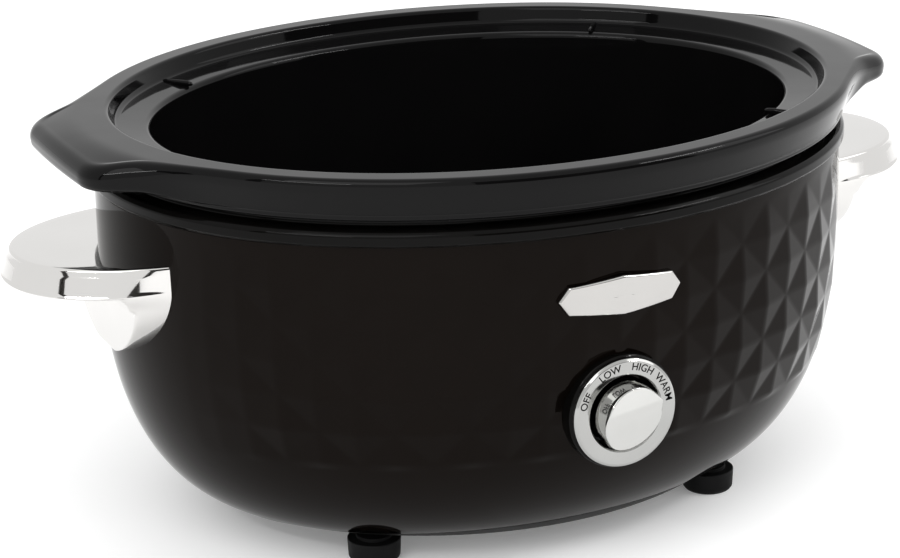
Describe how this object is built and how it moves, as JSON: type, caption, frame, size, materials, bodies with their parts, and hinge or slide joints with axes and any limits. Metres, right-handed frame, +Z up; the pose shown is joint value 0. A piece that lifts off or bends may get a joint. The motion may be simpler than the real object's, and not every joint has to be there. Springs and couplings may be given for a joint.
{
  "type": "slow cooker",
  "caption": "Oval slow cooker: a lift-out stoneware crock with end lugs in a heated faceted base with a dial, side handles and feet.",
  "frame": {"origin": "on the floor, at the centre of the footprint's box", "axes": "+X to the right seen from the front, +Z up; the dial faces -Y"},
  "size_m": [0.4488, 0.3104, 0.1905],
  "materials": {
    "black_glaze": "deep gloss black glaze on stoneware",
    "black_lacquer": "gloss black lacquer on pressed steel",
    "collar_black": "gloss black moulding",
    "aluminised_steel": "satin aluminised sheet",
    "mica_band": "mica-wrapped heating band",
    "zinc_steel": "zinc-plated steel",
    "base_black": "satin black paint",
    "foot_rubber": "moulded black rubber",
    "chrome": "polished chrome plate",
    "brass": "plain brass",
    "switch_moulding": "moulded thermoset",
    "switch_board": "laminate board",
    "terminal_ceramic": "unglazed steatite",
    "lead_sleeve": "silicone-glass sleeve",
    "gland_black": "moulded black plastic"
  },
  "bodies": {
    "base": {"outer_shell": "black_lacquer", "top_collar": "collar_black", "heating_liner": "aluminised_steel", "heater_band": "mica_band", "heater_band_clamp": "zinc_steel", "heat_shield": "aluminised_steel", "base_plate": "base_black", "foot_front_left": "foot_rubber", "foot_front_right": "foot_rubber", "foot_rear_left": "foot_rubber", "foot_rear_right": "foot_rubber", "foot_screws": "zinc_steel", "liner_posts": "zinc_steel", "centre_stud": "zinc_steel", "centre_nut": "zinc_steel", "handle_left": "chrome", "handle_right": "chrome", "handle_screws": "zinc_steel", "dial_boss": "collar_black", "dial_ring": "chrome", "switch_bush": "brass", "switch_nut": "zinc_steel", "switch_housing": "switch_moulding", "switch_cover": "switch_board", "switch_tabs": "brass", "badge": "chrome", "badge_clips": "zinc_steel", "collar_clips": "zinc_steel", "terminal_block": "terminal_ceramic", "terminal_screws": "brass", "thermal_fuse": "zinc_steel", "fuse_clip": "zinc_steel", "wire_leads": "lead_sleeve", "cord_gland": "gland_black", "gland_nut": "gland_black", "earth_screw": "brass"},
    "knob": {"knob": "chrome", "switch_shaft": "zinc_steel", "switch_rotor": "switch_moulding"},
    "crock": {"crock": "black_glaze"}
  },
  "joints": [
    {"name": "knob_turn", "type": "hinge", "parent": "base", "child": "knob", "pos_m": [0, -0.14325, 0.0794], "axis": [0, -1, 0], "range_deg": [0, 129]},
    {"name": "crock_lift", "type": "slide", "parent": "base", "child": "crock", "axis": [0, 0, 1], "range_m": [0, 0.16]}
  ]
}
